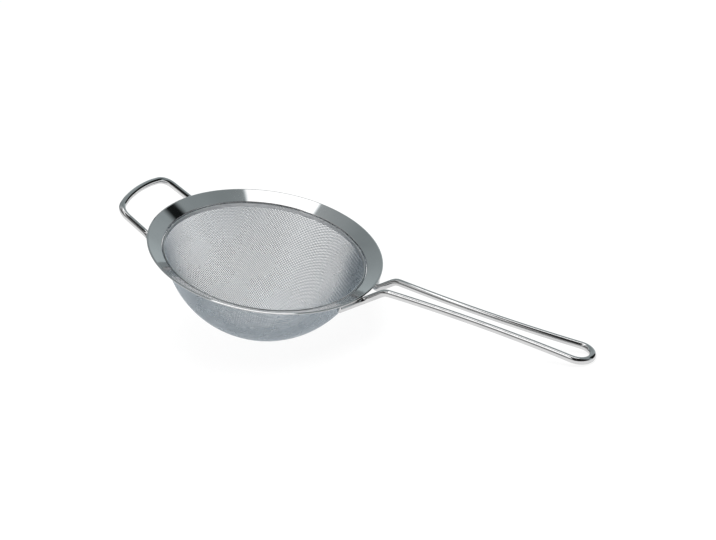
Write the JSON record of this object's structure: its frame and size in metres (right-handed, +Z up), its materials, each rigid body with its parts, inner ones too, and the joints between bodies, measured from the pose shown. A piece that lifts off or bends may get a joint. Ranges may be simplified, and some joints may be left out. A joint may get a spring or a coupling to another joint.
{
  "type": "fine mesh sieve",
  "caption": "Round fine mesh sieve with a wide sloping sheet rim, a woven wire bowl, a long hairpin rod handle and a rod loop that rests on the edge of a pot.",
  "frame": {"origin": "centre of the bounding box at the level of the surface it lies on", "axes": "+X along the sieve from the rest loop to the tip of the long handle, +Z up from the surface, +Y to the left of someone who looks along +X"},
  "size_m": [0.4082, 0.2, 0.1271],
  "materials": {
    "polished_sheet": "polished",
    "polished_rod": "polished",
    "woven_wire": "satin",
    "weld": "as welded"
  },
  "bodies": {
    "root": {"rim_flange": "polished_sheet", "clamp_ring": "polished_sheet", "mesh_bowl": "woven_wire", "long_handle": "polished_rod", "rest_loop": "polished_rod", "weld_handle_near": "weld", "weld_handle_far": "weld", "weld_loop_near": "weld", "weld_loop_far": "weld"}
  },
  "joints": []
}
